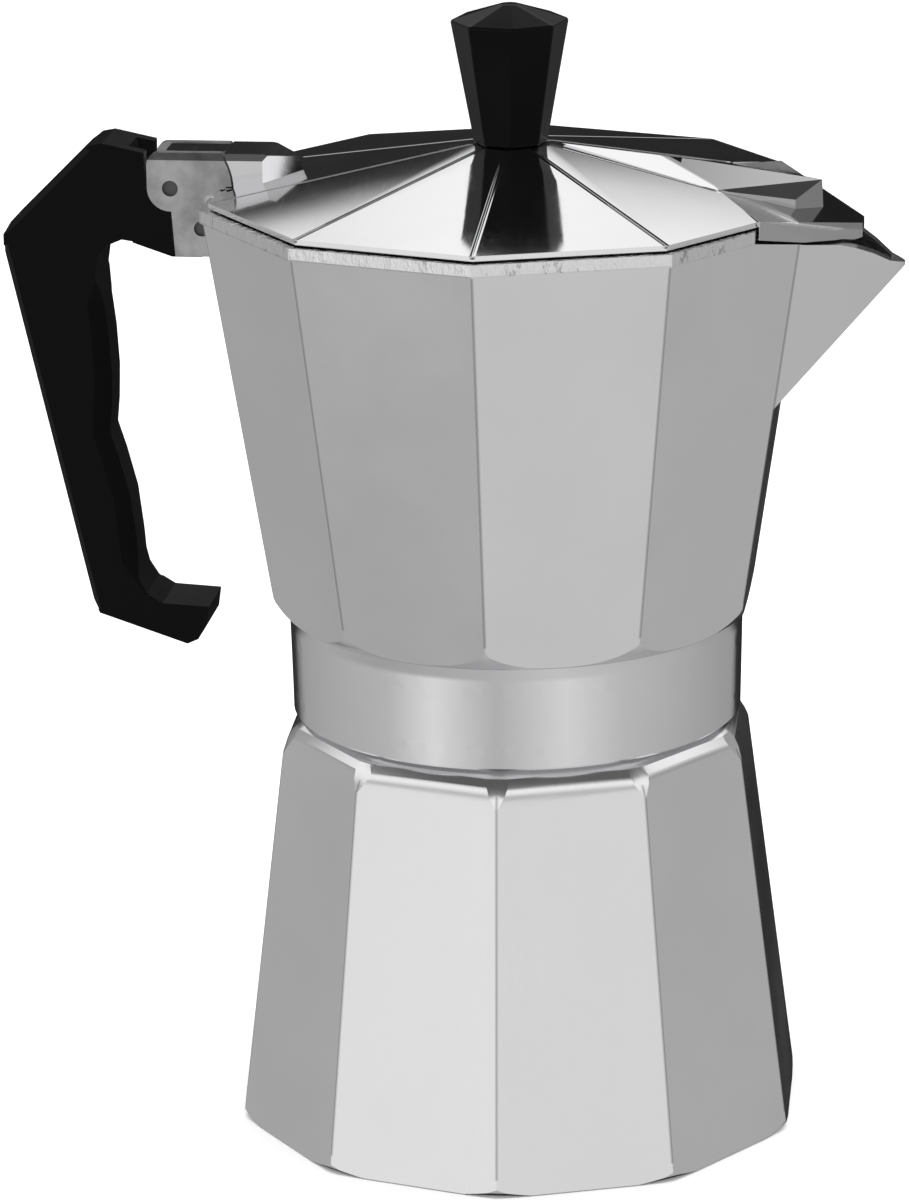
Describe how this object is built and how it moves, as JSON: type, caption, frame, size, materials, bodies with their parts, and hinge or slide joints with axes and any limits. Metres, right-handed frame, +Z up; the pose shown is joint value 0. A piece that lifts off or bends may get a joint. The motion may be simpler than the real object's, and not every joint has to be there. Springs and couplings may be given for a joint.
{
  "type": "moka pot",
  "caption": "Stovetop espresso pot with faceted boiler, screwed-on collector, folded spout, hinged lid with knob and a side handle.",
  "frame": {"origin": "centre of the boiler's flat base, on the surface the pot stands on", "axes": "+Z up along the axis of the screw joint, +X from the axis to the spout, -X to the hinge and the handle"},
  "size_m": [0.1585, 0.1104, 0.2018],
  "materials": {
    "cast_body": "satin polished casting",
    "polished_lid": "mirror polished",
    "funnel_aluminium": "spun, matt",
    "plate_aluminium": "pressed and perforated",
    "valve_brass": "machined",
    "insert_brass": "knurled",
    "spring_steel": "drawn wire",
    "fixing_steel": "bright",
    "seal_rubber": "matt",
    "valve_seal": "fibre washer, matt",
    "black_plastic": "glossy moulded"
  },
  "bodies": {
    "boiler": {"boiler": "cast_body", "valve_body": "valve_brass", "valve_washer": "valve_seal", "valve_cap": "valve_brass", "valve_spring": "spring_steel", "basket": "funnel_aluminium", "basket_strainer": "plate_aluminium", "funnel_stem": "funnel_aluminium"},
    "plunger": {"valve_plunger": "valve_brass"},
    "ring": {"gasket": "seal_rubber"},
    "top": {"collector": "cast_body", "filter_plate": "plate_aluminium", "hinge_pin": "fixing_steel", "handle": "black_plastic", "handle_pin": "fixing_steel"},
    "lid": {"lid": "polished_lid", "knob": "black_plastic", "knob_insert": "insert_brass", "knob_screw": "fixing_steel", "knob_washer": "fixing_steel"}
  },
  "joints": [
    {"name": "valve_lift", "type": "slide", "parent": "boiler", "child": "plunger", "axis": [-0.3395, 0.9329, 0.1202], "range_m": [0, 0.0012], "stiffness_N_per_m": 2000, "springref_m": -0.002, "deforming": ["valve_spring"]},
    {"name": "ring_rise", "type": "slide", "parent": "boiler", "child": "ring", "axis": [0, 0, 1], "range_m": [0, 0.0048]},
    {"name": "unscrew", "type": "hinge", "parent": "ring", "child": "top", "pos_m": [0, 0, 0], "axis": [0, 0, 1], "range_deg": [0, 540]},
    {"name": "lid_hinge", "type": "hinge", "parent": "top", "child": "lid", "pos_m": [-0.0595, 0, 0.1695], "axis": [0, -1, 0], "range_deg": [0, 100]}
  ],
  "couplings": [
    {"joint": "ring_rise", "follows": "unscrew", "m_per_rad": 0.0005093}
  ]
}
